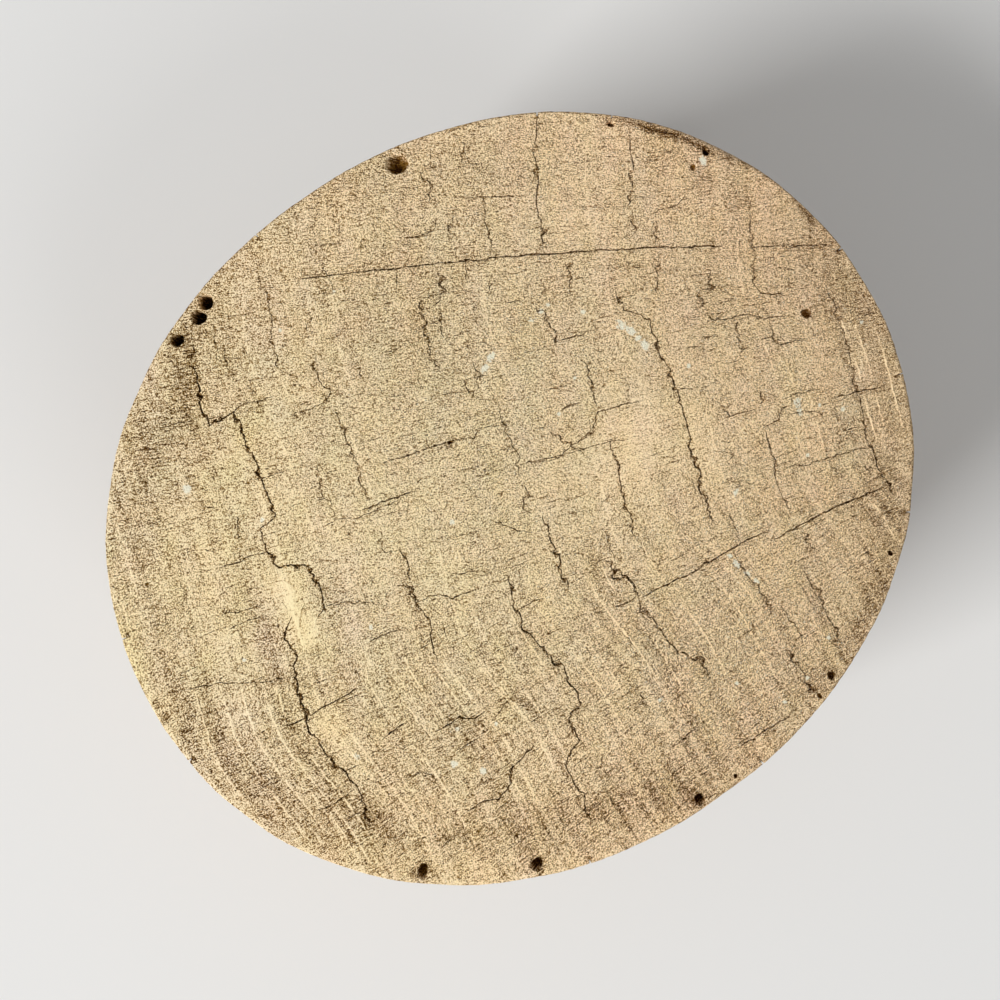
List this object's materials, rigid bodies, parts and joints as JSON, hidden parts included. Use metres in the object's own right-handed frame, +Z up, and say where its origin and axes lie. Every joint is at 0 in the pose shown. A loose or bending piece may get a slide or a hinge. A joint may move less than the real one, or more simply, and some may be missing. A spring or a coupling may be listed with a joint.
{
  "type": "hat block",
  "caption": "Oval wooden crown block for shaping hats: one piece of wood with a flat end-grain tip, a cord groove above its base and a spindle socket let into its underside.",
  "frame": {"origin": "middle of the base, on the surface that the block stands on", "axes": "+Z up out of the flat tip, X along the oval from the back of the head to the front, Y across it"},
  "size_m": [0.1958, 0.173, 0.115],
  "materials": {
    "block_wood": "raw, dry end grain on the tip, handled smooth on the wall",
    "bush_brass": "worn, dull",
    "plate_iron": "dull, slightly rusted",
    "screw_steel": "dull"
  },
  "bodies": {
    "root": {"crown_block": "block_wood", "spindle_bush": "bush_brass", "socket_plate": "plate_iron", "plate_screw_1": "screw_steel", "plate_screw_2": "screw_steel", "plate_screw_3": "screw_steel", "plate_screw_4": "screw_steel"}
  },
  "joints": []
}
